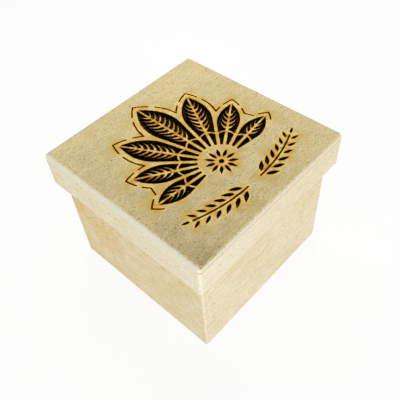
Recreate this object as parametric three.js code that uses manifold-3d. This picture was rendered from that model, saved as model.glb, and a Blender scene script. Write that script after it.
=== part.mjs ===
// A square keepsake box of thin MDF board with a lid that lifts off.
// The lid's top panel is pierced by a laser: a fan of seven leaf windows round a daisy, with a
// dashed outline, over two laurel sprays.
// Millimetres, +Z up. The origin is the middle of the underside, and the front faces -Y.
import * as THREE from "three";
import { mergeVertices, toCreasedNormals } from "three/addons/utils/BufferGeometryUtils.js";
import Module from "manifold-3d";

const wasm = await Module();
wasm.setup();

// The lid and the box
const lidWidth = 100;
const lidDepth = 100;
const lidHeight = 19;
const boxHeight = 77;
const board = 3;
const lidGap = 1;
const panelEdgeRadius = 1.7;
const panelTopCornerRadius = 0.4;
const skirtCornerRadius = 1.6;
const bodyCornerRadius = 0.8;
const cutOverrun = 1;
const creaseAngle = THREE.MathUtils.degToRad(40);

// The fan of leaf windows, measured from its centre
const petalCount = 7;
const petalPitch = THREE.MathUtils.degToRad(28);
const fanFromFront = 32;
const fanSideMargin = 13;
const fanBackMargin = 11.4;
const windowStart = 11;
const fanRib = 1.6;
const springShare = 0.61;
const archPower = 1.7;

// The scalloped ring that crosses every window
const ringShare = 0.68;
const ringScallop = 1.5;
const ringWidth = 0.9;

// The feather in each window: a midrib with barbs on both sides
const midribRoot = 1.5;
const midribTip = 0.8;
const barbPitch = 3.1;
const barbRoot = 1.2;
const barbSweep = 3.4;
const barbMargin = 1.6;
const featherShare = 0.66;
const bendShare = 0.25;

// The dashed outline cut round the fan
const outlineGap = 3.2;
const outlineSpread = THREE.MathUtils.degToRad(17.4);
const outlineSlit = 0.75;
const dashShare = 0.84;

// The daisy at the fan's centre
const daisyPetals = 11;
const daisyInner = 2.9;
const daisyOuter = 8.2;
const daisySlotWidth = 1.7;
const leafPower = 0.8;
const daisyEyeRadius = 1.3;

// The two laurel sprays below the fan
const sprayFromFront = 13;
const sprayStart = 4;
const sprayRise = 7;
const sprayStemSlit = 0.8;
const sprayLeafPitch = 4.4;
const sprayLeafRib = 0.35;
const sprayLeafLength = 7;
const sprayTaperShare = 0.38;
const sprayBridge = 0.9;
const sprayLeafAngle = THREE.MathUtils.degToRad(36);
const sprayStemShare = 0.9;

// How finely a window's end is found, and how far a slit's outer corner may reach
const toleranceShare = 0.001;
const mitreShare = 0.5;

// Counts of straight steps along each curve
const cornerSteps = 4;
const edgeSteps = 6;
const archSteps = 14;
const ringSteps = 3;
const barbSteps = 3;
const dashSteps = 14;
const slotSteps = 5;
const eyeSteps = 16;
const stemSteps = 12;

// Sizes worked out from those above
const leafWidth = sprayLeafPitch * Math.sin(sprayLeafAngle) - sprayLeafRib;
const bodyWidth = lidWidth - 2 * (board + lidGap);
const bodyDepth = lidDepth - 2 * (board + lidGap);
const bodyHeight = boxHeight - board;
const skirtHeight = lidHeight - board;
const skirtBottom = boxHeight - lidHeight;
const panelCornerRadius = panelTopCornerRadius + panelEdgeRadius;
const halfPitch = petalPitch / 2;
const fanCentre = new THREE.Vector2(0, fanFromFront - lidDepth / 2);
const fanHalfWidth = lidWidth / 2 - fanSideMargin;
const fanHeight = lidDepth / 2 - fanBackMargin - fanCentre.y;
const shortestSpring = springShare * Math.min(fanHalfWidth, fanHeight);
const ringRadius = THREE.MathUtils.lerp(windowStart, shortestSpring, ringShare);

// Raw MDF: the faces are sanded pale, and the lid's panel is a little deeper in colour.
const sandedBoard = new THREE.MeshStandardMaterial({ color: 0xe6dabb, roughness: 0.85, metalness: 0 });
const lidBoard = new THREE.MeshStandardMaterial({ color: 0xcbb985, roughness: 0.8, metalness: 0 });
const innerBoard = new THREE.MeshStandardMaterial({ color: 0xd6c69c, roughness: 0.9, metalness: 0 });

// Solids

function solidOf(geometry) {
  const bare = new THREE.BufferGeometry();
  bare.setAttribute("position", geometry.getAttribute("position"));
  if (geometry.index) bare.setIndex(geometry.index);
  const merged = mergeVertices(bare);
  return new wasm.Manifold(new wasm.Mesh({
    numProp: 3,
    vertProperties: merged.getAttribute("position").array,
    triVerts: new Uint32Array(merged.index.array),
  }));
}

function geometryOf(solid) {
  const mesh = solid.getMesh();
  const geometry = new THREE.BufferGeometry();
  geometry.setAttribute("position", new THREE.BufferAttribute(mesh.vertProperties, 3));
  geometry.setIndex(new THREE.BufferAttribute(mesh.triVerts, 1));
  return toCreasedNormals(geometry, creaseAngle);
}

function extruded(shape, depth, curveSegments) {
  return new THREE.ExtrudeGeometry(shape, { depth, curveSegments, bevelEnabled: false });
}

function named(name, geometry, material) {
  const mesh = new THREE.Mesh(geometry, material);
  mesh.name = name;
  return mesh;
}

// Walls

// The front wall of a ring of boards, seen from above. Both ends are mitred, and each takes half
// of the rounded outer corner.
function mitredWall(width, depth, cornerRadius) {
  const x = width / 2 - cornerRadius;
  const y = cornerRadius - depth / 2;
  const shape = new THREE.Shape();
  shape.absarc(-x, y, cornerRadius, Math.PI * 1.25, Math.PI * 1.5, false);
  shape.absarc(x, y, cornerRadius, Math.PI * 1.5, Math.PI * 1.75, false);
  shape.lineTo(width / 2 - board, board - depth / 2);
  shape.lineTo(board - width / 2, board - depth / 2);
  shape.closePath();
  return shape;
}

// Four mitred boards round a rectangle, standing on the height z.
function wallRing(suffix, width, depth, height, z, cornerRadius) {
  const ring = new THREE.Group();
  ring.position.z = z;
  const sides = [
    ["front", width, depth, 0],
    ["right", depth, width, Math.PI / 2],
    ["back", width, depth, Math.PI],
    ["left", depth, width, -Math.PI / 2],
  ];
  for (const [side, along, across, turn] of sides) {
    const outline = mitredWall(along, across, cornerRadius);
    const wall = named(`${side}_${suffix}`, extruded(outline, height, cornerSteps), sandedBoard);
    wall.rotation.z = turn;
    ring.add(wall);
  }
  return ring;
}

// Places on the lid's panel

// The point at a distance from the fan's centre, on a bearing clockwise from straight back.
function onBearing(radius, bearing) {
  return new THREE.Vector2(Math.sin(bearing), Math.cos(bearing)).multiplyScalar(radius).add(fanCentre);
}

// The point at a distance along a petal's axis and out to one side of it.
function besideAxis(petal, along, aside) {
  return onBearing(Math.hypot(along, aside), petal.bearing + Math.atan2(aside, along));
}

// The petals' tips lie on half an ellipse over the fan's centre.
function tipRadius(bearing) {
  return 1 / Math.hypot(Math.sin(bearing) / fanHalfWidth, Math.cos(bearing) / fanHeight);
}

function petalAt(index) {
  const bearing = (index - (petalCount - 1) / 2) * petalPitch;
  const tip = tipRadius(bearing);
  return { bearing, tip, spring: tip * springShare };
}

// The angle between a petal's axis and the side of its window.
function sideAngle(petal, radius) {
  const straight = halfPitch - Math.asin(fanRib / 2 / radius);
  const climb = Math.max(0, (radius - petal.spring) / (petal.tip - petal.spring));
  return straight * (1 - climb ** archPower);
}

// Half the midrib's width at a distance along it.
function midribHalf(petal, along) {
  return THREE.MathUtils.mapLinear(along, windowStart, petal.tip, midribRoot, midribTip) / 2;
}

// The ring's radius in a window, at an angle from the petal's axis.
function ringAt(petal, angle) {
  const share = angle / sideAngle(petal, ringRadius);
  return ringRadius + ringScallop * (1 - share ** 2);
}

// The distance at which a window's side runs into its midrib.
function windowEnd(petal) {
  let open = petal.spring;
  let shut = petal.tip;
  while (shut - open > toleranceShare * petal.tip) {
    const middle = (open + shut) / 2;
    const isOpen = middle * Math.sin(sideAngle(petal, middle)) > midribHalf(petal, middle);
    if (isOpen) open = middle;
    else shut = middle;
  }
  return open;
}

// Openings: each is a list of points round one hole

// The part of a window between the daisy and the ring, on one side of the midrib.
function lowerCell(petal, side) {
  const points = [];
  const inner = Math.asin(midribHalf(petal, ringRadius) / ringRadius);
  for (let step = 0; step <= ringSteps; step++) {
    const angle = THREE.MathUtils.lerp(inner, sideAngle(petal, ringRadius), step / ringSteps);
    points.push(onBearing(ringAt(petal, angle) - ringWidth / 2, petal.bearing + side * angle));
  }
  points.push(onBearing(windowStart, petal.bearing + side * sideAngle(petal, windowStart)));
  points.push(besideAxis(petal, windowStart, side * midribHalf(petal, windowStart)));
  return points;
}

// One barb of a feather, from its upper root out to its point and back to its lower root.
function barb(petal, side, root) {
  const half = midribHalf(petal, root);
  const reachAlong = root + barbRoot + barbSweep;
  const reachAside = Math.max(
    half + barbMargin * bendShare,
    featherShare * reachAlong * Math.sin(sideAngle(petal, reachAlong)),
  );
  const point = besideAxis(petal, reachAlong, side * reachAside);
  const bendAside = side * THREE.MathUtils.lerp(half, reachAside, featherShare);
  const upper = new THREE.QuadraticBezierCurve(
    besideAxis(petal, root + barbRoot, side * half),
    besideAxis(petal, root + barbRoot + barbSweep * bendShare, bendAside),
    point,
  );
  const lower = new THREE.QuadraticBezierCurve(
    point,
    besideAxis(petal, root + barbSweep * bendShare, bendAside),
    besideAxis(petal, root, side * half),
  );
  return [...upper.getPoints(barbSteps), ...lower.getPoints(barbSteps).slice(1)];
}

// The part of a window beyond the ring, on one side of the midrib and its barbs.
function upperCell(petal, side) {
  const points = [];
  const sideStart = ringRadius + ringWidth / 2;
  const end = windowEnd(petal);
  const inner = Math.asin(midribHalf(petal, ringRadius) / ringRadius);
  for (let step = 0; step < ringSteps; step++) {
    const angle = THREE.MathUtils.lerp(inner, sideAngle(petal, ringRadius), step / ringSteps);
    points.push(onBearing(ringAt(petal, angle) + ringWidth / 2, petal.bearing + side * angle));
  }
  for (let step = 0; step <= archSteps; step++) {
    const radius = THREE.MathUtils.lerp(sideStart, end, step / archSteps);
    points.push(onBearing(radius, petal.bearing + side * sideAngle(petal, radius)));
  }
  const firstRoot = ringRadius + ringScallop + barbMargin;
  const lastRoot = end - barbSweep - barbRoot - 2 * barbMargin;
  const barbs = Math.floor((lastRoot - firstRoot) / barbPitch);
  for (let index = barbs; index >= 0; index--) {
    points.push(...barb(petal, side, firstRoot + index * barbPitch));
  }
  return points;
}

// A slit of one width along a line of points, cut square at both ends.
function slit(line, width) {
  const left = [];
  const right = [];
  line.forEach((point, index) => {
    const before = line[Math.max(index - 1, 0)];
    const after = line[Math.min(index + 1, line.length - 1)];
    const arriving = (index ? point.clone().sub(before) : after.clone().sub(point)).normalize();
    const leaving = (index < line.length - 1 ? after.clone().sub(point) : arriving.clone()).normalize();
    const heading = arriving.clone().add(leaving).normalize();
    const reach = width / 2 / Math.max(heading.dot(arriving), mitreShare);
    const aside = new THREE.Vector2(-heading.y, heading.x).multiplyScalar(reach);
    left.push(point.clone().add(aside));
    right.push(point.clone().sub(aside));
  });
  return [...left, ...right.reverse()];
}

// The outline's radius on a bearing: the furthest of the pointed arches there.
function outlineRadius(petals, bearing) {
  const reaches = petals.map((petal) => {
    const share = Math.min(1, Math.abs(bearing - petal.bearing) / outlineSpread);
    const rise = petal.tip + outlineGap - petal.spring;
    return petal.spring + rise * (1 - share) ** (1 / archPower);
  });
  return Math.max(...reaches);
}

// The dashes of the outline: one over each petal's tip and one in each valley between two.
function outlineDashes(petals) {
  const dashes = [];
  for (let index = 0; index < 2 * petalCount - 1; index++) {
    const middle = petals[0].bearing + index * halfPitch;
    const line = [];
    for (let step = 0; step <= dashSteps; step++) {
      const share = (step / dashSteps - 1 / 2) * dashShare;
      const bearing = middle + share * halfPitch;
      line.push(onBearing(outlineRadius(petals, bearing), bearing));
    }
    dashes.push(slit(line, outlineSlit));
  }
  return dashes;
}

// A leaf-shaped slot from its root along a heading.
function leafSlot(root, heading, length, width) {
  const along = new THREE.Vector2(Math.cos(heading), Math.sin(heading));
  const aside = new THREE.Vector2(-along.y, along.x);
  const edge = (share, half) => root.clone()
    .addScaledVector(along, share * length)
    .addScaledVector(aside, half * width * Math.sin(Math.PI * share ** leafPower));
  const points = [];
  for (let step = 0; step < 2 * slotSteps; step++) {
    const isReturning = step > slotSteps;
    const share = isReturning ? 2 - step / slotSteps : step / slotSteps;
    points.push(edge(share, isReturning ? -1 / 2 : 1 / 2));
  }
  return points;
}

function daisySlots() {
  const slots = [];
  for (let index = 0; index < daisyPetals; index++) {
    const bearing = (index * 2 * Math.PI) / daisyPetals;
    const root = onBearing(daisyInner, bearing);
    slots.push(leafSlot(root, Math.PI / 2 - bearing, daisyOuter - daisyInner, daisySlotWidth));
  }
  const eye = [];
  for (let step = 0; step < eyeSteps; step++) {
    eye.push(onBearing(daisyEyeRadius, (step * 2 * Math.PI) / eyeSteps));
  }
  return [...slots, eye];
}

// A spray on one side: a stem slit with a leaf on each side of it at every joint.
function spraySlots(side) {
  const rootY = sprayFromFront - lidDepth / 2;
  const reach = lidWidth / 2 - fanSideMargin;
  const stem = new THREE.QuadraticBezierCurve(
    new THREE.Vector2(side * sprayStart, rootY),
    new THREE.Vector2((side * (sprayStart + reach)) / 2, rootY),
    new THREE.Vector2(side * reach, rootY + sprayRise),
  );
  const line = [];
  for (let step = 0; step <= stemSteps; step++) {
    line.push(stem.getPoint((step / stemSteps) * sprayStemShare));
  }
  const slots = [slit(line, sprayStemSlit)];
  const pairs = Math.floor((stem.getLength() * sprayStemShare) / sprayLeafPitch);
  for (let pair = 0; pair < pairs; pair++) {
    const share = (pair + 1 / 2) / pairs;
    const joint = stem.getPoint(share * sprayStemShare);
    const tangent = stem.getTangent(share * sprayStemShare);
    const scale = 1 - sprayTaperShare * share;
    for (const hand of [-1, 1]) {
      const across = new THREE.Vector2(-tangent.y, tangent.x).multiplyScalar(hand);
      const root = joint.clone().addScaledVector(across, sprayStemSlit / 2 + sprayBridge);
      const heading = tangent.angle() + hand * sprayLeafAngle;
      slots.push(leafSlot(root, heading, sprayLeafLength * scale, leafWidth * scale));
    }
  }
  const end = stem.getTangent(1).angle();
  slots.push(leafSlot(
    stem.getPoint(sprayStemShare).add(stem.getTangent(1).multiplyScalar(sprayBridge)),
    end,
    sprayLeafLength * (1 - sprayTaperShare),
    leafWidth * (1 - sprayTaperShare),
  ));
  return slots;
}

function lidOpenings() {
  const petals = Array.from({ length: petalCount }, (_, index) => petalAt(index));
  const cells = petals.flatMap((petal) => [-1, 1].flatMap((side) => [
    lowerCell(petal, side),
    upperCell(petal, side),
  ]));
  return [...cells, ...outlineDashes(petals), ...daisySlots(), ...spraySlots(-1), ...spraySlots(1)];
}

// The lid's panel

function roundedRectangle(width, depth, radius) {
  const x = width / 2 - radius;
  const y = depth / 2 - radius;
  const shape = new THREE.Shape();
  shape.absarc(x, -y, radius, -Math.PI / 2, 0, false);
  shape.absarc(x, y, radius, 0, Math.PI / 2, false);
  shape.absarc(-x, y, radius, Math.PI / 2, Math.PI, false);
  shape.absarc(-x, -y, radius, Math.PI, Math.PI * 1.5, false);
  shape.closePath();
  return shape;
}

// The panel's block: rounded corners, and a rounded edge round its top face. It reaches below
// the panel, and the pierced sheet trims it there.
function roundedBlock() {
  const inset = 2 * panelEdgeRadius;
  const outline = roundedRectangle(lidWidth - inset, lidDepth - inset, panelTopCornerRadius);
  const block = new THREE.ExtrudeGeometry(outline, {
    depth: board + cutOverrun - panelEdgeRadius,
    curveSegments: cornerSteps,
    bevelEnabled: true,
    bevelSize: panelEdgeRadius,
    bevelThickness: panelEdgeRadius,
    bevelSegments: edgeSteps,
  });
  return block.translate(0, 0, -cutOverrun);
}

// A sheet larger than the panel, with every opening cut through it.
function piercedSheet() {
  const sheet = roundedRectangle(lidWidth + cutOverrun, lidDepth + cutOverrun, panelCornerRadius);
  sheet.holes = lidOpenings().map((points) => new THREE.Path(points));
  return extruded(sheet, board + cutOverrun, cornerSteps);
}

function lidPanel() {
  const solid = solidOf(roundedBlock()).intersect(solidOf(piercedSheet()));
  const panel = named("lid_top_panel", geometryOf(solid), lidBoard);
  panel.position.z = boxHeight - board;
  return panel;
}

// The base lies inside the four walls, flush with their lower edges.
function basePanel() {
  const width = bodyWidth - 2 * board;
  const depth = bodyDepth - 2 * board;
  const panel = named("base_panel", new THREE.BoxGeometry(width, depth, board), innerBoard);
  panel.position.z = board / 2;
  return panel;
}

const lid = new THREE.Group();
lid.add(lidPanel());
lid.add(wallRing("skirt", lidWidth, lidDepth, skirtHeight, skirtBottom, skirtCornerRadius));

const body = new THREE.Group();
body.add(basePanel());
body.add(wallRing("wall", bodyWidth, bodyDepth, bodyHeight, 0, bodyCornerRadius));

const keepsakeBox = new THREE.Group();
keepsakeBox.add(body, lid);

export default keepsakeBox;
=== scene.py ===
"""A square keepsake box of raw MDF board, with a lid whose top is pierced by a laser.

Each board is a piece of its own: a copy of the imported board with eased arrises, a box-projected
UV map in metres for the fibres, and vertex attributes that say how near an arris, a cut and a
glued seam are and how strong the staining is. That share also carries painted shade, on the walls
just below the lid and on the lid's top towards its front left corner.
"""
import math

import bmesh
import bpy
from mathutils import Matrix, Vector
from mathutils.kdtree import KDTree


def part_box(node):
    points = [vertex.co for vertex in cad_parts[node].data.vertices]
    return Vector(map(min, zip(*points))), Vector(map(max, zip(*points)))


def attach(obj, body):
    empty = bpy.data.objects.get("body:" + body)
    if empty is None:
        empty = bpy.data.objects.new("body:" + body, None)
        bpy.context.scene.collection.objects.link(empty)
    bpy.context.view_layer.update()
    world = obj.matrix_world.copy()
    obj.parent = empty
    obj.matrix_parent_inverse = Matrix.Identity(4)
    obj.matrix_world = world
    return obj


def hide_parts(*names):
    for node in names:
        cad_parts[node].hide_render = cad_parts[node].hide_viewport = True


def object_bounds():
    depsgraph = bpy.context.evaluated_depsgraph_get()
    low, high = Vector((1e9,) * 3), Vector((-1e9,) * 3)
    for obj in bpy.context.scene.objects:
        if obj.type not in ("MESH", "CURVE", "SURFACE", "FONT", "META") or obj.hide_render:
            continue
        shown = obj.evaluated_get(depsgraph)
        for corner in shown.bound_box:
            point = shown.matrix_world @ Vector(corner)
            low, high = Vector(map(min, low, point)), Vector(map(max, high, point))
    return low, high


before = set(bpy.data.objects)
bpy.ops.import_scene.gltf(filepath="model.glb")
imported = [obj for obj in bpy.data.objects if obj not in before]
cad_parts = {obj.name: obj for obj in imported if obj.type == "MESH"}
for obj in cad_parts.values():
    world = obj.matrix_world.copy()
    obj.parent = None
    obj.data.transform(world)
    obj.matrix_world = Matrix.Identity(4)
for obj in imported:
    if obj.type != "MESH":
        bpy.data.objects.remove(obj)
cad_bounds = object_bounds()

bl_info = {
    "name": "Pierced keepsake box",
    "version": (1, 0, 0),
    "blender": (4, 5, 0),
    "location": "3D View > Sidebar > Keepsake Box",
    "description": "Finishes the boards of a laser-cut MDF box and sets it on a pale stage",
    "category": "Object",
}

MM = 0.001
BODY_OF_LID = "lid"
BODY_OF_BOX = "box"

# Names that the meshes and the materials share
BOARD_UV = "board"
ARRIS = "arris"
CUT = "cut_distance"
HEAT = "cut_heat"
SEAM = "seam_distance"
# Staining share of each vertex, which also carries painted shade below the lid and at the lid's front
# corner
STAIN_AND_SHADE = "stain"

# Sockets of the Mix node when it mixes colours
MIX_A = 6
MIX_B = 7
MIX_RESULT = 2

# Places of the materials in the lists of a side board, the lid's panel and the base
OUTER, EDGE, INNER = range(3)
TOP, UNDERSIDE, CUT_WALL, RIM = range(4)
BASE_INSIDE, BASE_BELOW = range(2)

# Tolerances of the mesh work
MERGE_GAP = 0.001 * MM
SLICE_GAP = 0.0001 * MM
LEVEL_GAP = 0.01 * MM
FLAT_ANGLE = math.radians(1)
SHARP_ANGLE = math.radians(38)

# Upward part of a face's normal, at most this on an upright face and at least this on a level one
UPRIGHT_NORMAL = 0.1
LEVEL_NORMAL = 0.9

# Upward part down to which the panel's rounded arris counts as its top
TOP_NORMAL = 0.45

# Most that the X and Y parts of a normal differ by on a face at 45 degrees
MITRE_NORMAL = 0.01

# Heights off a board's long arrises where it is sliced, so that a seam's line stays thin
SEAM_SLICES = (0.45 * MM, 1 * MM, 2 * MM)

# Width of the panel's rim, which has no cuts and no fine cells
PANEL_MARGIN = 2 * MM

# Shifts that give each board, and each side of it, a stretch of the pattern of its own
SIDE_SHIFT = 37 * MM
BOARD_SHIFT = 113 * MM
PANEL_SHIFT = 900 * MM
BASE_SHIFT = 1300 * MM

# Staining at the two ends of each board, the left or front end first. On the walls these shares
# also set how strong the painted shade just below the lid is.
SKIRT_STAINS = {"front": (0.0, 0.6), "right": (0.4, 0.3), "back": (0.3, 0.3), "left": (0.1, 0.5)}
WALL_STAINS_AND_SHADE = {"front": (0.3, 0.55), "right": (0.5, 0.6), "back": (0.6, 0.5), "left": (0.8, 1.7)}
BASE_STAIN = (0.5, 0.5)

# Share of the staining far off, what is added close by, and the distance over which that fades.
# Below the lid the added part is painted shade, the skirt's shadow on the walls; at the lid's front
# left corner it is painted shade that darkens the top, over faint darker clouds all across it.
SHADE_BELOW_LID = (0.4, 0.9, 16 * MM)
# Painted shade towards the lid's front left corner, over faint darker clouds all across the top
GRIME_AND_CORNER_SHADE = (0.3, 2.6, 37 * MM)

# Widths of the worn band along an arris, in millimetres
SIDE_WEAR = 0.4
PANEL_WEAR = 2.1

# By how much the panel's left, right, front and back edges are spared from wear
SPARED_EDGES = (0.2 * MM, 1.6 * MM, 1.2 * MM, 1.6 * MM)

# Reaches of the scorch in millimetres, the pairs for a lone cut and for crowded ones
SMOKE_REACH = (1.2, 3.4)
AMBER_REACH = (0.16, 0.75)
BROWN_SHARE_OF_AMBER = 0.3
SMUDGE_REACH = 1.8
HAZE_REACH = 8.0

# Tints of the pale and the dark grain in a board's face
PALE_GRAIN = (1.21, 1.22, 1.25)
DARK_GRAIN = (0.74, 0.7, 0.62)

# Depths of the surface relief
FIBRE_RELIEF = 0.004 * MM
SOOT_RELIEF = 0.05 * MM

# White of the background and of the floor's glow
WHITE = (1.0, 1.0, 1.0, 1.0)

# The floor's colour and size in metres, and how much of what the camera sees of it is glow
FLOOR_COLOUR = (0.86, 0.86, 0.85, 1.0)
FLOOR_HALF_WIDTH = 2.0
FLOOR_GLOW = 1.03
FLOOR_GLOW_SHARE = 0.84

# Each lamp's name, the setting of its power, its width and its place in metres
LAMPS = (
    ("Front", "front", 0.8, Vector((-0.16, -1.04, 0.38))),
    ("Side", "side", 0.8, Vector((-1.02, -0.24, 0.38))),
    ("Back", "back", 0.2, Vector((0.14, 0.14, 0.36))),
)


def srgb(red, green, blue):
    """A colour given as it looks on screen, 0 to 255, in the linear values that Blender stores."""
    def linear(value):
        share = value / 255
        return share / 12.92 if share <= 0.04045 else ((share + 0.055) / 1.055) ** 2.4
    return tuple(linear(value) for value in (red, green, blue))


def colour_property(name, description, default):
    """A colour that a user can change."""
    return bpy.props.FloatVectorProperty(
        name=name, description=description, default=default, size=3, min=0, max=1, subtype="COLOR",
    )


def length_property(name, description, default):
    """A length that a user can change."""
    return bpy.props.FloatProperty(
        name=name, description=description, default=default, min=0, unit="LENGTH", precision=5,
    )


def angle_property(name, description, degrees):
    """An angle that a user can change."""
    return bpy.props.FloatProperty(
        name=name, description=description, default=math.radians(degrees), subtype="ANGLE",
    )


def power_property(name, description, default):
    """A lamp's power that a user can change."""
    return bpy.props.FloatProperty(
        name=name, description=description, default=default, min=0, unit="POWER",
    )


class BoardColours(bpy.types.PropertyGroup):
    """The colours of raw, sanded and scorched board."""

    lid: colour_property("Lid top", "Face of the pierced panel", srgb(225, 208, 157))
    skirt: colour_property("Skirt face", "Outer faces of the lid's skirt", srgb(241, 234, 213))
    wall: colour_property("Wall face", "Outer faces of the box's walls", srgb(241, 233, 210))
    edge: colour_property("Board edge", "Sanded edges of the boards", srgb(229, 217, 180))
    worn: colour_property("Worn arris", "Where sanding breaks through an arris", srgb(237, 234, 216))
    inner: colour_property("Inner face", "Unsanded faces inside the box", srgb(206, 188, 152))
    # Yellow of the clouds in the sanded faces, which is also painted shade on the walls just below the
    # lid
    stain: colour_property("Stain_and_shade", "Yellower clouds in the sanded faces", srgb(227, 200, 129))
    # Darker clouds over the lid's top, which towards its front left corner are painted shade
    grime_and_corner_shade: colour_property("Grime_and_shade", "Darker clouds where the lid is shaded", srgb(158, 138, 92))
    seam: colour_property("Seam", "Glue line between two boards", srgb(176, 152, 100))
    speck: colour_property("Speck", "Dark bark specks in the board", srgb(124, 82, 38))
    smoke: colour_property("Smoke", "Haze over the board round the cuts", srgb(240, 207, 100))
    amber: colour_property("Amber", "Outer part of the scorch round a cut", srgb(203, 131, 8))
    brown: colour_property("Brown", "Inner part of the scorch round a cut", srgb(118, 64, 12))
    char: colour_property("Char", "Burnt walls of the cuts", srgb(12, 8, 5))


class BoardSizes(bpy.types.PropertyGroup):
    """How finely the boards are worked."""

    arris_round: length_property("Arris", "Width of the eased outer arrises", 0.3 * MM)
    seam_round: length_property("Seam", "Width of the arrises that meet at a glued seam", 0.05 * MM)
    wear_reach: length_property("Wear reach", "How far from an arris the wear is measured", 8 * MM)
    cell: length_property("Cell", "Size of the mesh cells that carry the wear", 4 * MM)


class CutSizes(bpy.types.PropertyGroup):
    """How the heat of the laser spreads from the cuts."""

    cell: length_property("Cell", "Size of the mesh cells between the cuts", 0.9 * MM)
    reach: length_property("Reach", "How far from a cut the heat is measured", 9 * MM)
    pitch: length_property("Pitch", "Distance between the points where a cut is sampled", 0.3 * MM)
    heat_radius: length_property("Heat radius", "Distance over which nearby cuts add up", 3.6 * MM)
    full_heat: bpy.props.IntProperty(
        name="Full heat", description="Count of samples near a point that give full heat",
        default=150, min=1,
    )


class StageSettings(bpy.types.PropertyGroup):
    """The camera's view and the studio light."""

    azimuth: angle_property("Azimuth", "Compass turn of the view from straight at the front", -43.84)
    elevation: angle_property("Elevation", "How far the camera looks down", 49.51)
    roll: angle_property("Roll", "Turn of the camera about its own axis", -4.81)
    distance: length_property("Distance", "From the camera to the middle of the box", 270.77 * MM)
    aside: bpy.props.FloatProperty(
        name="Aside", description="How far the camera stands to the right of the middle",
        default=1.36 * MM, unit="LENGTH", precision=5,
    )
    above: bpy.props.FloatProperty(
        name="Above", description="How far the camera stands above the middle, in its own frame",
        default=-1.53 * MM, unit="LENGTH", precision=5,
    )
    lens: bpy.props.FloatProperty(
        name="Lens", description="Focal length on a sensor 36 mm wide, in millimetres",
        default=46.27, min=1, unit="CAMERA",
    )
    sky: bpy.props.FloatProperty(
        name="Sky", description="Strength of the even light from all round", default=0.42, min=0,
    )
    front: power_property("Front", "Power of the large lamp in front", 5.2)
    side: power_property("Side", "Power of the large lamp on the left", 4.3)
    back: power_property("Back", "Power of the lamp over the back", 0.56)


def make(tree, kind, inputs=(), **settings):
    """Add a node with its settings, and give its inputs their values or links."""
    added = tree.nodes.new(kind)
    for name, value in settings.items():
        setattr(added, name, value)
    for key, value in dict(inputs).items():
        if isinstance(value, bpy.types.NodeSocket):
            tree.links.new(value, added.inputs[key])
        else:
            added.inputs[key].default_value = value
    return added


def maths(tree, operation, *values, clamp=False):
    """The result of one operation on numbers."""
    added = make(tree, "ShaderNodeMath", enumerate(values), operation=operation, use_clamp=clamp)
    return added.outputs[0]


def chained(tree, operation, first, *others):
    """The result of one operation on several numbers in turn, such as their product."""
    for value in others:
        first = maths(tree, operation, first, value)
    return first


def vector_maths(tree, operation, *values):
    """The result of one operation on vectors."""
    return make(tree, "ShaderNodeVectorMath", enumerate(values), operation=operation).outputs[0]


def span(tree, value, start, end, low=0.0, high=1.0):
    """The value's place between start and end, as a number from low to high."""
    inputs = {"Value": value, "From Min": start, "From Max": end, "To Min": low, "To Max": high}
    return make(tree, "ShaderNodeMapRange", inputs).outputs["Result"]


def blend(tree, share, first, second, mode="MIX"):
    """Two colours mixed, or one laid on the other."""
    inputs = {0: share, MIX_A: opaque(first), MIX_B: opaque(second)}
    added = make(tree, "ShaderNodeMix", inputs, data_type="RGBA", blend_type=mode)
    return added.outputs[MIX_RESULT]


def overlaid(tree, shade, mask, strength, colour):
    """The shade with a colour laid over it where the mask is."""
    return blend(tree, maths(tree, "MULTIPLY", mask, strength), shade, colour)


def opaque(colour):
    """A linked colour as it is, and a fixed one with its alpha."""
    return colour if isinstance(colour, bpy.types.NodeSocket) else (*colour, 1.0)


def noise(tree, vector, scale, detail, roughness=0.5):
    """Noise over a flat pattern."""
    inputs = {"Vector": vector, "Scale": scale, "Detail": detail, "Roughness": roughness}
    return make(tree, "ShaderNodeTexNoise", inputs, noise_dimensions="2D").outputs["Fac"]


def mapped(tree, vector, turn, scale, place):
    """A pattern's vector turned, stretched and moved."""
    inputs = {"Vector": vector, "Rotation": (0, 0, turn), "Scale": scale, "Location": place}
    return make(tree, "ShaderNodeMapping", inputs).outputs[0]


def shared_group(name, fill, numbers, masks):
    """A node group made once, from the board's UVs and some numbers to masks."""
    found = bpy.data.node_groups.get(name)
    if found:
        return found
    group = bpy.data.node_groups.new(name, "ShaderNodeTree")
    group.interface.new_socket("Board", in_out="INPUT", socket_type="NodeSocketVector")
    for label, default in numbers.items():
        socket = group.interface.new_socket(label, in_out="INPUT", socket_type="NodeSocketFloat")
        socket.default_value = default
    for label in masks:
        group.interface.new_socket(label, in_out="OUTPUT", socket_type="NodeSocketFloat")
    entry = group.nodes.new("NodeGroupInput")
    make(group, "NodeGroupOutput", fill(group, entry.outputs))
    return group


def placed(tree, group, inputs):
    """The group's outputs, with the group placed in a tree."""
    return make(tree, "ShaderNodeGroup", inputs, node_tree=group).outputs


def in_millimetres(tree, vector):
    """A vector in metres, scaled so that patterns can be sized in millimetres."""
    scaled = make(tree, "ShaderNodeVectorMath", {0: vector, "Scale": 1 / MM}, operation="SCALE")
    return scaled.outputs[0]


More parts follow.
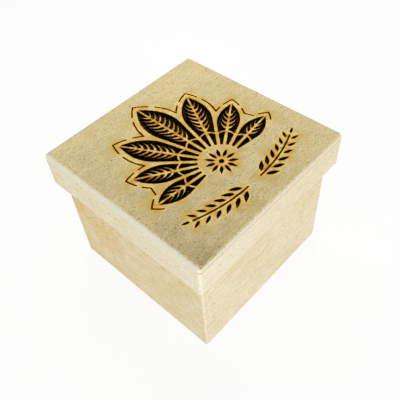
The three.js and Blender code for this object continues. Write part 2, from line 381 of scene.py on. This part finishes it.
def fill_fibres(tree, given):
    """Short wood fibres that lie every way, pale and dark, and sanding lines along the board."""
    flat = in_millimetres(tree, given["Board"])
    drift = make(tree, "ShaderNodeTexNoise", {"Vector": flat, "Scale": 0.16, "Detail": 2.0},
                 noise_dimensions="2D").outputs["Color"]
    drift = vector_maths(tree, "SUBTRACT", drift, (0.5, 0.5, 0.5))
    bent = vector_maths(tree, "MULTIPLY_ADD", drift, (2.6, 2.6, 2.6), flat)

    def fibres(offset):
        layers = []
        for turn in (0.35, 1.4, 2.45):
            lying = mapped(tree, bent, turn, (0.7, 3.0, 1.0), (offset, offset + turn, 0.0))
            layers.append(span(tree, noise(tree, lying, 1.0, 1.5), 0.58, 0.74))
        return chained(tree, "MAXIMUM", *layers)

    pale = fibres(0.0)
    dark = fibres(61.0)
    speckle = noise(tree, flat, 1.6, 4.0, 0.8)
    sanded = noise(tree, mapped(tree, bent, 0.06, (0.35, 1.9, 1.0), (5.0, 3.0, 0.0)), 1.0, 2.0, 0.6)
    grain = maths(tree, "MULTIPLY_ADD", sanded, 0.15, maths(tree, "MULTIPLY", speckle, 0.85))
    height = maths(tree, "SUBTRACT", maths(tree, "ADD", grain, pale), dark)
    return {"Pale": pale, "Dark": dark, "Grain": grain, "Height": height}


def fibre_group():
    return shared_group("MDF fibres", fill_fibres, {}, ("Pale", "Dark", "Grain", "Height"))


def fill_mottle(tree, given):
    """Soft clouds and streaks, dark specks and pale flecks in a few cells, and rare scratches."""
    flat = in_millimetres(tree, given["Board"])
    wide = noise(tree, flat, 0.04, 2.0, 0.5)
    tight = noise(tree, mapped(tree, flat, 0.1, (0.05, 0.22, 1.0), (31.0, 7.0, 0.0)), 1.0, 3.0, 0.6)
    fine = noise(tree, mapped(tree, flat, 0.12, (0.17, 0.44, 1.0), (17.0, 5.0, 0.0)), 1.0, 3.0, 0.75)
    cells = make(tree, "ShaderNodeTexVoronoi", {"Vector": flat, "Scale": 0.66},
                 voronoi_dimensions="2D").outputs
    lot = make(tree, "ShaderNodeSeparateColor", {0: cells["Color"]}).outputs
    radius = span(tree, maths(tree, "POWER", lot[1], 3.0), 0.0, 1.0, 0.16, 0.44)
    dot = span(tree, cells["Distance"], maths(tree, "MULTIPLY", radius, 0.3), radius, 1.0, 0.0)
    is_dark = maths(tree, "GREATER_THAN", lot[0], given["Sparseness"])
    is_pale = maths(tree, "LESS_THAN", lot[0], maths(tree, "SUBTRACT", 1.0, given["Sparseness"]))
    streaks = [
        span(tree, noise(tree, mapped(tree, flat, turn, (0.13, 2.6, 1.0), (turn, 9.0, 0.0)), 1.0, 0.0),
             0.82, 0.88)
        for turn in (0.5, 2.2)
    ]
    return {
        "Cloud": wide, "Patch": tight, "Streak": fine,
        "Speck": maths(tree, "MULTIPLY", dot, is_dark),
        "Fleck": maths(tree, "MULTIPLY", dot, is_pale),
        "Scratch": maths(tree, "MAXIMUM", *streaks),
    }


def mottle_group():
    masks = ("Cloud", "Patch", "Streak", "Speck", "Fleck", "Scratch")
    return shared_group("MDF mottle", fill_mottle, {"Sparseness": 0.6}, masks)


def fill_wear(tree, given):
    """Sanding that breaks through along an arris, uneven in width."""
    flat = in_millimetres(tree, given["Board"])
    ragged = span(tree, noise(tree, flat, 0.7, 4.0, 0.8), 0.25, 0.75, 0.6, 1.4)
    width = maths(tree, "MULTIPLY", given["Width"], ragged)
    solid = maths(tree, "MULTIPLY", width, 0.45)
    return {"Wear": span(tree, given["Distance"], solid, width, 1.0, 0.0)}


def wear_group():
    return shared_group("Sanded arris", fill_wear, {"Distance": 8.0, "Width": 1.0}, ("Wear",))


def fill_scorch(tree, given):
    """Haze, smoke, amber and brown round a cut, wider and darker where cuts crowd."""
    flat = in_millimetres(tree, given["Board"])
    ragged = span(tree, noise(tree, flat, 0.9, 3.0, 0.65), 0.25, 0.75, 0.5, 1.5)
    patchy = span(tree, noise(tree, flat, 0.3, 2.0, 0.55), 0.43, 0.6)
    hot = span(tree, given["Heat"], 0.3, 0.9)
    uneven = maths(tree, "MULTIPLY", ragged, span(tree, patchy, 0.0, 1.0, 0.3, 1.8))
    smoke_reach = maths(tree, "MULTIPLY", ragged, span(tree, hot, 0.0, 1.0, *SMOKE_REACH))
    amber_reach = maths(tree, "MULTIPLY", uneven, span(tree, hot, 0.0, 1.0, *AMBER_REACH))
    brown_reach = maths(tree, "MULTIPLY", amber_reach, BROWN_SHARE_OF_AMBER)

    def ring(reach, strength=1.0):
        return span(tree, given["Distance"], 0.0, reach, strength, 0.0)

    smoke = ring(smoke_reach)
    crowded = chained(tree, "MULTIPLY", hot, patchy, smoke)
    toasted = span(tree, noise(tree, flat, 0.45, 2.0, 0.6), 0.5, 0.66, 0.0, 0.6)
    plume = span(tree, noise(tree, flat, 0.11, 3.0, 0.55), 0.44, 0.62)
    smudge = maths(tree, "MULTIPLY", plume, ring(SMUDGE_REACH, 0.65))
    return {
        "Haze": maths(tree, "MULTIPLY", plume, ring(HAZE_REACH, 0.75)),
        "Smoke": smoke,
        "Amber": chained(tree, "MAXIMUM", ring(amber_reach), crowded, smudge),
        "Brown": maths(tree, "MAXIMUM", ring(brown_reach), maths(tree, "MULTIPLY", crowded, toasted)),
    }


def scorch_group():
    masks = ("Haze", "Smoke", "Amber", "Brown")
    return shared_group("Laser scorch", fill_scorch, {"Distance": 9.0, "Heat": 0.0}, masks)


def attribute(tree, name):
    """A value that a mesh carries at its vertices."""
    return make(tree, "ShaderNodeAttribute", attribute_name=name).outputs["Fac"]


def scaled_colour(colour, factor):
    """A colour made darker or paler."""
    return tuple(min(1.0, channel * factor) for channel in colour)


def new_material(name):
    """An empty material, its tree and its Principled BSDF."""
    material = bpy.data.materials.new(name)
    material.use_nodes = True
    tree = material.node_tree
    return material, tree, tree.nodes["Principled BSDF"]


def finish_shader(tree, shader, colour, rough, height, depth, gloss=0.25):
    """Join a board's colour, roughness and surface relief to its shader."""
    relief = make(tree, "ShaderNodeBump", {"Height": height, "Strength": 0.6, "Distance": depth})
    tree.links.new(colour, shader.inputs["Base Color"])
    tree.links.new(rough, shader.inputs["Roughness"])
    tree.links.new(relief.outputs[0], shader.inputs["Normal"])
    shader.inputs["Specular IOR Level"].default_value = gloss


def board_material(name, colour, stain, cloudy, fibrous, sparseness, worn=0.0, wear_width=0.0):
    """Fibreboard: clouds, streaks, fibres, specks, worn arrises and the line of a glued seam. Where
    the mesh marks it, the clouds and streaks are painted shade below the lid and at the lid's front
    corner.
    """
    colours = bpy.context.scene.board_colours
    material, tree, shader = new_material(name)
    board = make(tree, "ShaderNodeUVMap", uv_map=BOARD_UV).outputs[0]
    fibres = placed(tree, fibre_group(), {"Board": board})
    mottle = placed(tree, mottle_group(), {"Board": board, "Sparseness": sparseness})
    stain_and_shade_amount = attribute(tree, STAIN_AND_SHADE)
    # Painted shade: where the mesh's share is high, below the lid and at the lid's front corner, the
    # clouds and streaks darken
    cloud = maths(tree, "MULTIPLY", span(tree, mottle["Cloud"], 0.36, 0.64, 0.4, 1.0), cloudy)
    shade = blend(tree, maths(tree, "MULTIPLY", cloud, stain_and_shade_amount, clamp=True), colour, stain)
    shade = overlaid(tree, shade, span(tree, mottle["Patch"], 0.42, 0.7), 0.4 * cloudy, stain)
    streak = span(tree, mottle["Streak"], 0.47, 0.68)
    streaky = span(tree, stain_and_shade_amount, 0.0, 1.0, 0.25 * cloudy, 0.85 * cloudy)
    shade = overlaid(tree, shade, streak, streaky, scaled_colour(stain, 0.85))
    grain = span(tree, fibres["Grain"], 0.41, 0.6, 0.5 - fibrous / 2, 0.5 + fibrous / 2)
    light = blend(tree, 1.0, shade, PALE_GRAIN, "MULTIPLY")
    dark = blend(tree, 1.0, shade, DARK_GRAIN, "MULTIPLY")
    shade = blend(tree, grain, light, dark)
    shade = overlaid(tree, shade, fibres["Dark"], fibrous * 0.3, scaled_colour(colour, 0.6))
    shade = overlaid(tree, shade, fibres["Pale"], fibrous * 0.3, scaled_colour(colour, 1.2))
    shade = overlaid(tree, shade, mottle["Fleck"], 0.28, colours.worn)
    shade = overlaid(tree, shade, mottle["Speck"], 0.65, colours.speck)
    if worn:
        shade = overlaid(tree, shade, mottle["Scratch"], 0.5, colours.worn)
        inputs = {"Board": board, "Distance": attribute(tree, ARRIS), "Width": wear_width}
        wear = placed(tree, wear_group(), inputs)["Wear"]
        grit = span(tree, fibres["Grain"], 0.35, 0.65, worn, worn * 0.75)
        shade = overlaid(tree, shade, wear, grit, colours.worn)
    seam = span(tree, attribute(tree, SEAM), 0.05, 0.4, 0.6, 0.0)
    shade = blend(tree, seam, shade, colours.seam)
    rough = span(tree, fibres["Grain"], 0.2, 0.8, 0.74, 0.92)
    finish_shader(tree, shader, shade, rough, fibres["Height"], FIBRE_RELIEF)
    return material


def scorched_material(name, colour, stain, smoky, **look):
    """Fibreboard with the laser's haze, smoke, amber and brown laid over its colour."""
    colours = bpy.context.scene.board_colours
    material = board_material(name, colour, stain, **look)
    tree = material.node_tree
    base = tree.nodes["Principled BSDF"].inputs["Base Color"]
    shade = base.links[0].from_socket
    rings = placed(tree, scorch_group(), {
        "Board": make(tree, "ShaderNodeUVMap", uv_map=BOARD_UV).outputs[0],
        "Distance": attribute(tree, CUT),
        "Heat": attribute(tree, HEAT),
    })
    shade = overlaid(tree, shade, rings["Haze"], smoky, scaled_colour(colours.smoke, 0.66))
    shade = overlaid(tree, shade, rings["Smoke"], smoky, colours.smoke)
    shade = overlaid(tree, shade, rings["Amber"], 1.0, colours.amber)
    shade = overlaid(tree, shade, rings["Brown"], 0.8, colours.brown)
    tree.links.new(shade, base)
    return material


def char_material(name):
    """Soot with faint brown streaks that run down the wall of a cut."""
    colours = bpy.context.scene.board_colours
    material, tree, shader = new_material(name)
    place = make(tree, "ShaderNodeTexCoord").outputs["Object"]
    streaks = make(tree, "ShaderNodeMapping", {"Vector": place, "Scale": (1 / MM, 1 / MM, 0.2 / MM)})
    inputs = {"Vector": streaks.outputs[0], "Scale": 1.4, "Detail": 3.0}
    soot = make(tree, "ShaderNodeTexNoise", inputs).outputs["Fac"]
    shade = blend(tree, span(tree, soot, 0.45, 0.8, 0.0, 0.2), colours.char, colours.brown)
    rough = span(tree, soot, 0.3, 0.7, 0.7, 0.95)
    finish_shader(tree, shader, shade, rough, soot, SOOT_RELIEF, gloss=0.05)
    return material


def once(name, build, *colours, **look):
    """A material by name, built the first time that a piece asks for it."""
    return bpy.data.materials.get(name) or build(name, *colours, **look)


def skirt_face():
    colours = bpy.context.scene.board_colours
    return once("Skirt face", board_material, colours.skirt, colours.stain, cloudy=0.5, fibrous=0.6,
                sparseness=0.95, worn=0.05, wear_width=SIDE_WEAR)


def wall_face():
    colours = bpy.context.scene.board_colours
    # Its yellow clouds are also painted shade just below the lid, where the skirt's shadow falls
    return once("Wall face", board_material, colours.wall, colours.stain, cloudy=0.9, fibrous=0.6,
                sparseness=0.94, worn=0.2, wear_width=SIDE_WEAR)


def inner_face():
    colours = bpy.context.scene.board_colours
    return once("Inner face", board_material, colours.inner, colours.stain, cloudy=0.1, fibrous=0.35,
                sparseness=0.85)


def board_edge():
    colours = bpy.context.scene.board_colours
    return once("Board edge", board_material, colours.edge, colours.stain, cloudy=0.2, fibrous=0.25,
                sparseness=0.95)


def panel_edge():
    colours = bpy.context.scene.board_colours
    return once("Panel edge", board_material, colours.edge, colours.stain, cloudy=0.2, fibrous=0.4,
                sparseness=0.95, worn=0.9, wear_width=PANEL_WEAR)


def lid_face():
    colours = bpy.context.scene.board_colours
    # Its darker cloud colour is also painted shade, darkening the top towards its front left corner
    return once("Lid face", scorched_material, colours.lid, colours.grime_and_corner_shade, smoky=0.9, cloudy=0.35,
                fibrous=0.8, sparseness=0.72, worn=0.95, wear_width=PANEL_WEAR)


def lid_underside():
    colours = bpy.context.scene.board_colours
    return once("Lid underside", scorched_material, colours.inner, colours.stain, smoky=0.15,
                cloudy=0.1, fibrous=0.35, sparseness=0.85)


def charred_cut():
    return once("Charred cut", char_material)


def copied_board(node):
    """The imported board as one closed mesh."""
    board = bmesh.new()
    board.from_mesh(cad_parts[node].data)
    bmesh.ops.remove_doubles(board, verts=board.verts, dist=MERGE_GAP)
    return board


def plain_board(node):
    """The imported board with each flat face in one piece."""
    board = copied_board(node)
    bmesh.ops.dissolve_limit(board, verts=board.verts, edges=board.edges, angle_limit=FLAT_ANGLE)
    return board


def everything(board):
    """All parts of a mesh, as the slicing takes them."""
    return board.verts[:] + board.edges[:] + board.faces[:]


def slice_across(board, axis, places):
    """Cut the whole mesh at places along an axis, so that it can carry fine attributes."""
    normal = Vector((0.0, 0.0, 0.0))
    normal[axis] = 1.0
    for place in places:
        bmesh.ops.bisect_plane(board, geom=everything(board), dist=SLICE_GAP,
                               plane_co=normal * place, plane_no=normal)


def steps_between(low, high, step):
    """Even places between two ends, about a step apart."""
    count = max(1, round((high - low) / step))
    return [low + (high - low) * index / count for index in range(1, count)]


def long_axis(low, high):
    """0 for a board that runs along X, and 1 for one that runs along Y."""
    return 0 if high.x - low.x > high.y - low.y else 1


def level_edges(board, height):
    """The edges that lie level at this height."""
    return [edge for edge in board.edges
            if all(abs(vert.co.z - height) < LEVEL_GAP for vert in edge.verts)]


def middle_of(edge):
    return (edge.verts[0].co + edge.verts[1].co) / 2


def borders_upright(edge):
    """Whether an edge is on an upright face, such as the wall of a cut."""
    return any(abs(face.normal.z) < UPRIGHT_NORMAL for face in edge.link_faces)


def ease(board, edges, width):
    """Round edges off with two narrow faces."""
    bmesh.ops.bevel(board, geom=edges, offset=width, offset_type="OFFSET", affect="EDGES",
                    segments=2, profile=0.5, material=-1)


def project_uv(board, shift):
    """Box-projected UVs in metres. The shift gives each board a stretch of pattern of its own."""
    layer = board.loops.layers.uv.new(BOARD_UV)
    for face in board.faces:
        normal = [abs(value) for value in face.normal]
        axis = normal.index(max(normal))
        first, second = [other for other in range(3) if other != axis]
        for loop in face.loops:
            place = loop.vert.co
            loop[layer].uv = (place[first] + shift, place[second] + shift / 2 + axis * SIDE_SHIFT)


def fading(gap, far, near, reach):
    """A share that is far plus near where the gap is nothing, and falls towards far."""
    return far + near * math.exp(-gap / reach)


def mark_arrises(board, low, high, reach):
    """Each vertex's distance in millimetres to the board's nearest long arris or end."""
    layer = board.verts.layers.float.new(ARRIS)
    thin = min(range(3), key=lambda axis: high[axis] - low[axis])
    for vert in board.verts:
        gaps = [min(vert.co[axis] - low[axis], high[axis] - vert.co[axis])
                for axis in range(3) if axis != thin]
        vert[layer] = min(reach, *gaps) / MM


def mark_stain_and_shade(board, low, high, stain):
    """How strong the staining is at each vertex, from one end to the other, with painted shade added
    just below the lid, where the skirt's shadow falls on the walls.
    """
    layer = board.verts.layers.float.new(STAIN_AND_SHADE)
    lid_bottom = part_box("front_skirt")[0].z
    axis = long_axis(low, high)
    for vert in board.verts:
        along = (vert.co[axis] - low[axis]) / (high[axis] - low[axis])
        below = max(0.0, lid_bottom - vert.co.z)
        # Painted shade: just below the lid the share rises, standing for the skirt's shadow on the
        # wall
        vert[layer] = (stain[0] + (stain[1] - stain[0]) * along) * fading(below, *SHADE_BELOW_LID)


def mark_seam(board, height, reach):
    """Each vertex's distance in millimetres to the glued seam at this height, if one shows."""
    layer = board.verts.layers.float.new(SEAM)
    for vert in board.verts:
        gap = reach if height is None else abs(vert.co.z - height)
        vert[layer] = min(reach, gap) / MM


def linked_object(name, data):
    """A new object in the scene."""
    made = bpy.data.objects.new(name, data)
    bpy.context.scene.collection.objects.link(made)
    return made


def mesh_object(name, board, materials):
    """A new object in the scene, made from a finished mesh."""
    mesh = bpy.data.meshes.new(name)
    board.to_mesh(mesh)
    board.free()
    for material in materials:
        mesh.materials.append(material)
    return linked_object(name, mesh)


def add_piece(board, name, node, body, materials):
    """Turn a finished mesh into the piece that stands for a packed board."""
    piece = mesh_object(name, board, materials)
    for polygon in piece.data.polygons:
        polygon.use_smooth = True
    piece.data.set_sharp_from_angle(angle=SHARP_ANGLE)
    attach(piece, body)
    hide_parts(node)


def is_mitre(face):
    """Whether a face is a wall's mitred end, which lies at 45 degrees and is hidden."""
    normal = face.normal
    return abs(normal.z) < UPRIGHT_NORMAL and abs(abs(normal.x) - abs(normal.y)) < MITRE_NORMAL


def wall_board(node, index, stain, seam_is_on_top, shows_seam=False):
    """A mitred board with eased arrises, its faces sorted by material."""
    sizes = bpy.context.scene.board_sizes
    low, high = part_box(node)
    board = plain_board(node)
    top_round = sizes.seam_round if seam_is_on_top else sizes.arris_round
    for height, width in ((low.z, sizes.arris_round), (high.z, top_round)):
        rim = [edge for edge in level_edges(board, height)
               if not any(is_mitre(face) for face in edge.link_faces)]
        ease(board, rim, width)
    axis = long_axis(low, high)
    slice_across(board, 2, steps_between(low.z, high.z, sizes.cell))
    slice_across(board, axis, steps_between(low[axis], high[axis], sizes.cell))
    slice_across(board, 2, [low.z + gap for gap in SEAM_SLICES])
    slice_across(board, 2, [high.z - gap for gap in SEAM_SLICES])
    mark_arrises(board, low, high, sizes.wear_reach)
    mark_stain_and_shade(board, low, high, stain)
    mark_seam(board, high.z if shows_seam else None, sizes.wear_reach)
    project_uv(board, index * BOARD_SHIFT)
    for face in board.faces:
        centre = face.calc_center_median()
        outwards = face.normal.x * centre.x + face.normal.y * centre.y
        if abs(face.normal.z) > LEVEL_NORMAL:
            face.material_index = EDGE
        elif outwards < 0 or is_mitre(face):
            face.material_index = INNER
        else:
            face.material_index = OUTER
    return board


def base_board():
    """The board that closes the box, its faces sorted by material."""
    sizes = bpy.context.scene.board_sizes
    low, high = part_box("base_panel")
    board = plain_board("base_panel")
    for axis in range(2):
        slice_across(board, axis, steps_between(low[axis], high[axis], sizes.cell))
    mark_arrises(board, low, high, sizes.wear_reach)
    mark_stain_and_shade(board, low, high, BASE_STAIN)
    mark_seam(board, None, sizes.wear_reach)
    project_uv(board, BASE_SHIFT)
    for face in board.faces:
        face.material_index = BASE_BELOW if face.normal.z < -LEVEL_NORMAL else BASE_INSIDE
    return board


def perimeter_gap(place, low, high, spared=(0.0, 0.0, 0.0, 0.0)):
    """A point's distance in from the panel's outer edge, more on the sides that are spared."""
    gaps = (place.x - low.x, high.x - place.x, place.y - low.y, high.y - place.y)
    return min(gap + extra for gap, extra in zip(gaps, spared))


def cut_samples(board, low, high, pitch):
    """Points along the top edges of the cuts."""
    points = []
    for edge in level_edges(board, high.z):
        is_inside = perimeter_gap(middle_of(edge), low, high) > PANEL_MARGIN
        if is_inside and borders_upright(edge):
            first, second = (vert.co for vert in edge.verts)
            count = max(1, math.ceil((second - first).length / pitch))
            points += [first.lerp(second, (step + 0.5) / count) for step in range(count)]
    return points


def mark_heat(board, points, cuts):
    """Each vertex's distance to the nearest cut in millimetres, and how crowded the cuts are."""
    tree = KDTree(len(points))
    for index, point in enumerate(points):
        tree.insert((point.x, point.y, 0.0), index)
    tree.balance()
    distance = board.verts.layers.float.new(CUT)
    heat = board.verts.layers.float.new(HEAT)
    for vert in board.verts:
        flat = (vert.co.x, vert.co.y, 0.0)
        gap = tree.find(flat)[2]
        vert[distance] = min(gap, cuts.reach) / MM
        if gap < cuts.reach:
            crowd = len(tree.find_range(flat, cuts.heat_radius))
            vert[heat] = min(1.0, crowd / cuts.full_heat)


def mark_panel(board, low, high, reach):
    """Each vertex's distance in millimetres to the panel's edge and to the glued seam below it.

    It is also marked with painted shade that darkens the top towards the front left corner, over
    faint darker clouds all across it. The seam doesn't show along the left edge.
    """
    arris, stain_and_shade_amount, seam = [board.verts.layers.float.new(name) for name in (ARRIS, STAIN_AND_SHADE, SEAM)]
    for vert in board.verts:
        worn_gap = max(0.0, perimeter_gap(vert.co, low, high, SPARED_EDGES))
        vert[arris] = min(reach, worn_gap) / MM
        # Painted shade: the top darkens towards the front left corner, over faint darker clouds all
        # across it
        vert[stain_and_shade_amount] = fading((vert.co - low).xy.length, *GRIME_AND_CORNER_SHADE)
        shows_seam = vert.co.x >= low.x + PANEL_MARGIN
        vert[seam] = (min(reach, vert.co.z - low.z) if shows_seam else reach) / MM


def pierced_panel():
    """The lid's panel, cut into cells that carry the scorch round every opening."""
    sizes = bpy.context.scene.board_sizes
    cuts = bpy.context.scene.cut_sizes
    low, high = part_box("lid_top_panel")
    board = copied_board("lid_top_panel")
    points = cut_samples(board, low, high, cuts.pitch)
    rim = [edge for edge in level_edges(board, low.z)
           if perimeter_gap(middle_of(edge), low, high) < PANEL_MARGIN and borders_upright(edge)]
    ease(board, rim, sizes.seam_round)
    for axis in range(2):
        along = [point[axis] for point in points]
        first = max(min(along) - cuts.reach, low[axis] + PANEL_MARGIN)
        last = min(max(along) + cuts.reach, high[axis] - PANEL_MARGIN)
        slice_across(board, axis, steps_between(first, last, cuts.cell))
    mark_heat(board, points, cuts)
    mark_panel(board, low, high, sizes.wear_reach)
    project_uv(board, PANEL_SHIFT)
    for face in board.faces:
        if face.normal.z > TOP_NORMAL:
            face.material_index = TOP
        elif face.normal.z < -LEVEL_NORMAL:
            face.material_index = UNDERSIDE
        elif perimeter_gap(face.calc_center_median(), low, high) > PANEL_MARGIN:
            face.material_index = CUT_WALL
        else:
            face.material_index = RIM
    return board


class KEEPSAKE_OT_lid_panel(bpy.types.Operator):
    """Finish the lid's pierced top panel"""

    bl_idname = "keepsake.lid_panel"
    bl_label = "Lid Panel"

    def execute(self, context):
        materials = [lid_face(), lid_underside(), charred_cut(), panel_edge()]
        add_piece(pierced_panel(), "pierced_lid_panel", "lid_top_panel", BODY_OF_LID,
                  materials)
        return {"FINISHED"}


class KEEPSAKE_OT_lid_skirt(bpy.types.Operator):
    """Finish the four boards of the lid's skirt"""

    bl_idname = "keepsake.lid_skirt"
    bl_label = "Lid Skirt"

    def execute(self, context):
        for index, (side, stain) in enumerate(SKIRT_STAINS.items()):
            board = wall_board(f"{side}_skirt", index, stain, seam_is_on_top=True,
                               shows_seam=side != "left")
            add_piece(board, f"{side}_skirt_board", f"{side}_skirt", BODY_OF_LID,
                      [skirt_face(), board_edge(), inner_face()])
        return {"FINISHED"}


class KEEPSAKE_OT_box_walls(bpy.types.Operator):
    """Finish the four walls of the box"""

    bl_idname = "keepsake.box_walls"
    bl_label = "Box Walls"

    def execute(self, context):
        for index, (side, stain) in enumerate(WALL_STAINS_AND_SHADE.items(), len(SKIRT_STAINS)):
            board = wall_board(f"{side}_wall", index, stain, seam_is_on_top=False)
            add_piece(board, f"{side}_wall_board", f"{side}_wall", BODY_OF_BOX,
                      [wall_face(), board_edge(), inner_face()])
        return {"FINISHED"}


class KEEPSAKE_OT_base_panel(bpy.types.Operator):
    """Finish the board that closes the box below"""

    bl_idname = "keepsake.base_panel"
    bl_label = "Base Panel"

    def execute(self, context):
        add_piece(base_board(), "base_board", "base_panel", BODY_OF_BOX,
                  [inner_face(), wall_face()])
        return {"FINISHED"}


def seen_by(tree, *kinds):
    """1 for rays of these kinds, and 0 for the rest."""
    rays = make(tree, "ShaderNodeLightPath").outputs
    return chained(tree, "MAXIMUM", *(rays[kind] for kind in kinds))


def floor_material():
    """White to the camera, with part of its own light left so that the shadow shows."""
    material, tree, shader = new_material("Pale floor")
    shader.inputs["Base Color"].default_value = FLOOR_COLOUR
    shader.inputs["Roughness"].default_value = 1.0
    shader.inputs["Specular IOR Level"].default_value = 0.0
    glow = make(tree, "ShaderNodeEmission", {"Color": WHITE, "Strength": FLOOR_GLOW})
    seen = seen_by(tree, "Is Camera Ray", "Is Glossy Ray")
    share = maths(tree, "MULTIPLY", seen, FLOOR_GLOW_SHARE)
    mixed = make(tree, "ShaderNodeMixShader", {0: share, 1: shader.outputs[0], 2: glow.outputs[0]})
    output = next(found for found in tree.nodes if found.type == "OUTPUT_MATERIAL")
    tree.links.new(mixed.outputs[0], output.inputs["Surface"])
    return material


def add_floor():
    """A level sheet that the box stands on."""
    sheet = bmesh.new()
    bmesh.ops.create_grid(sheet, x_segments=1, y_segments=1, size=FLOOR_HALF_WIDTH)
    floor = mesh_object("floor", sheet, [floor_material()])


def add_sky(strength):
    """Even light from all round, behind a white background."""
    world = bpy.data.worlds.new("Studio")
    bpy.context.scene.world = world
    world.use_nodes = True
    tree = world.node_tree
    background = tree.nodes["Background"]
    background.inputs["Color"].default_value = WHITE
    seen = seen_by(tree, "Is Camera Ray", "Is Transmission Ray")
    tree.links.new(span(tree, seen, 0.0, 1.0, strength, 1.0), background.inputs["Strength"])


def add_lamp(name, power, size, place, target):
    """A square lamp that faces the target."""
    lamp = bpy.data.lights.new(name, "AREA")
    lamp.energy = power
    lamp.size = size
    holder = linked_object(name, lamp)
    holder.location = place
    holder.rotation_euler = (target - place).to_track_quat("-Z", "Y").to_euler()


def add_camera(stage, middle):
    """The camera that frames the box as its settings say."""
    azimuth, elevation, roll = stage.azimuth, stage.elevation, stage.roll
    back = Vector((
        math.sin(azimuth) * math.cos(elevation),
        -math.cos(azimuth) * math.cos(elevation),
        math.sin(elevation),
    ))
    level = Vector((math.cos(azimuth), math.sin(azimuth), 0.0))
    upright = back.cross(level)
    right = math.cos(roll) * level + math.sin(roll) * upright
    up = back.cross(right)
    place = middle + back * stage.distance + right * stage.aside + up * stage.above
    camera = bpy.data.cameras.new("Camera")
    camera.lens = stage.lens
    camera.clip_start = 10 * MM
    holder = linked_object("Camera", camera)
    turned = Matrix((right, up, back)).transposed().to_4x4()
    holder.matrix_world = Matrix.Translation(place) @ turned
    bpy.context.scene.camera = holder


class KEEPSAKE_OT_stage(bpy.types.Operator):
    """Set up the camera, the floor and the light"""

    bl_idname = "keepsake.stage"
    bl_label = "Stage"

    def execute(self, context):
        stage = context.scene.keepsake_stage
        low, high = (Vector(corner) for corner in cad_bounds)
        middle = (low + high) / 2
        add_camera(stage, middle)
        add_floor()
        add_sky(stage.sky)
        for name, setting, size, place in LAMPS:
            add_lamp(name, getattr(stage, setting), size, place, middle)
        context.scene.view_settings.view_transform = "Standard"
        return {"FINISHED"}


class KEEPSAKE_PT_sidebar(bpy.types.Panel):
    """Lists the pieces of the box and what can be changed"""

    bl_idname = "KEEPSAKE_PT_sidebar"
    bl_label = "Keepsake Box"
    bl_space_type = "VIEW_3D"
    bl_region_type = "UI"
    bl_category = "Keepsake Box"

    def draw(self, context):
        layout = self.layout
        for operator in OPERATORS:
            layout.operator(operator.bl_idname)
        for name in SETTINGS:
            settings = getattr(context.scene, name)
            column = layout.column()
            for key in settings.__annotations__:
                column.prop(settings, key)


SETTINGS = {
    "board_colours": BoardColours,
    "board_sizes": BoardSizes,
    "cut_sizes": CutSizes,
    "keepsake_stage": StageSettings,
}
OPERATORS = (
    KEEPSAKE_OT_stage,
    KEEPSAKE_OT_base_panel,
    KEEPSAKE_OT_box_walls,
    KEEPSAKE_OT_lid_skirt,
    KEEPSAKE_OT_lid_panel,
)


def register():
    for name, group in SETTINGS.items():
        bpy.utils.register_class(group)
        setattr(bpy.types.Scene, name, bpy.props.PointerProperty(type=group))
    for operator in OPERATORS:
        bpy.utils.register_class(operator)
    bpy.utils.register_class(KEEPSAKE_PT_sidebar)


def unregister():
    bpy.utils.unregister_class(KEEPSAKE_PT_sidebar)
    for operator in reversed(OPERATORS):
        bpy.utils.unregister_class(operator)
    for name, group in reversed(SETTINGS.items()):
        delattr(bpy.types.Scene, name)
        bpy.utils.unregister_class(group)


def main():
    """Build every piece and the stage."""
    register()
    bpy.ops.keepsake.stage()
    bpy.ops.keepsake.base_panel()
    bpy.ops.keepsake.box_walls()
    bpy.ops.keepsake.lid_skirt()
    bpy.ops.keepsake.lid_panel()


if __name__ == "__main__":
    main()
